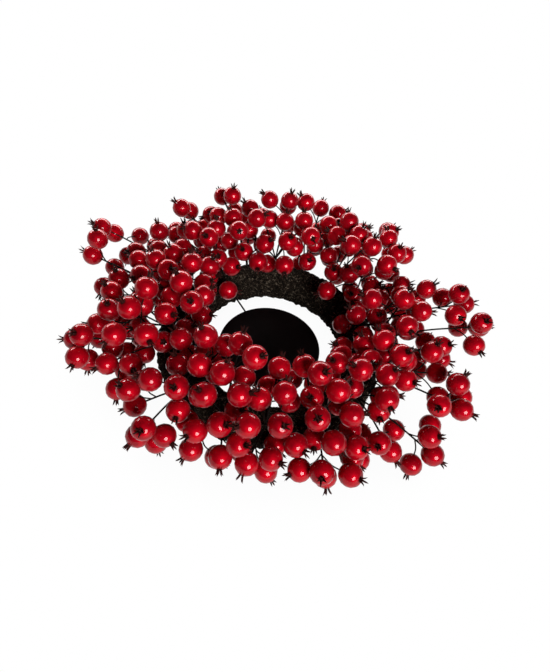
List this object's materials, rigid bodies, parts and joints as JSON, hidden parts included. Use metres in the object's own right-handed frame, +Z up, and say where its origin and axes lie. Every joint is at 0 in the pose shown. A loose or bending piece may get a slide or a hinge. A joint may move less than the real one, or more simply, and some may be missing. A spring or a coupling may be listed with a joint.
{
  "type": "candle ring",
  "caption": "Round table candle ring: a fibre-covered ring carries sprays of red berries on wire stems, with a flat black candle plate held in its middle by wires.",
  "frame": {"origin": "middle of the candle plate's top face, on the ring's axis", "axes": "+Z up out of the candle plate, +X to the right and -Y towards the viewer as pictured"},
  "size_m": [0.322, 0.2541, 0.0879],
  "materials": {
    "foam": "moulded foam",
    "fibre_cover": "rough speckled fibre",
    "black_plate": "satin black paint",
    "arm_wire": "black wire",
    "stem_wire": "dark brown taped wire",
    "berry_red": "glossy red lacquer",
    "crown_brown": "dark brown, matt"
  },
  "bodies": {
    "root": {"berry_pick_01_berries": "berry_red", "berry_pick_01_crowns": "crown_brown", "berry_pick_01_stem": "stem_wire", "berry_pick_02_berries": "berry_red", "berry_pick_02_crowns": "crown_brown", "berry_pick_02_stem": "stem_wire", "berry_pick_03_berries": "berry_red", "berry_pick_03_crowns": "crown_brown", "berry_pick_03_stem": "stem_wire", "berry_pick_04_berries": "berry_red", "berry_pick_04_crowns": "crown_brown", "berry_pick_04_stem": "stem_wire", "berry_pick_05_berries": "berry_red", "berry_pick_05_crowns": "crown_brown", "berry_pick_05_stem": "stem_wire", "berry_pick_06_berries": "berry_red", "berry_pick_06_crowns": "crown_brown", "berry_pick_06_stem": "stem_wire", "berry_pick_07_berries": "berry_red", "berry_pick_07_crowns": "crown_brown", "berry_pick_07_stem": "stem_wire", "berry_pick_08_berries": "berry_red", "berry_pick_08_crowns": "crown_brown", "berry_pick_08_stem": "stem_wire", "berry_pick_09_berries": "berry_red", "berry_pick_09_crowns": "crown_brown", "berry_pick_09_stem": "stem_wire", "berry_pick_10_berries": "berry_red", "berry_pick_10_crowns": "crown_brown", "berry_pick_10_stem": "stem_wire", "berry_pick_11_berries": "berry_red", "berry_pick_11_crowns": "crown_brown", "berry_pick_11_stem": "stem_wire", "berry_pick_12_berries": "berry_red", "berry_pick_12_crowns": "crown_brown", "berry_pick_12_stem": "stem_wire", "berry_pick_13_berries": "berry_red", "berry_pick_13_crowns": "crown_brown", "berry_pick_13_stem": "stem_wire", "berry_pick_14_berries": "berry_red", "berry_pick_14_crowns": "crown_brown", "berry_pick_14_stem": "stem_wire", "berry_pick_15_berries": "berry_red", "berry_pick_15_crowns": "crown_brown", "berry_pick_15_stem": "stem_wire", "berry_pick_16_berries": "berry_red", "berry_pick_16_crowns": "crown_brown", "berry_pick_16_stem": "stem_wire", "berry_pick_17_berries": "berry_red", "berry_pick_17_crowns": "crown_brown", "berry_pick_17_stem": "stem_wire", "berry_pick_18_berries": "berry_red", "berry_pick_18_crowns": "crown_brown", "berry_pick_18_stem": "stem_wire", "candle_plate": "black_plate", "plate_arm_1": "arm_wire", "plate_arm_2": "arm_wire", "plate_arm_3": "arm_wire", "ring_core": "foam", "ring_cover": "fibre_cover"}
  },
  "joints": []
}
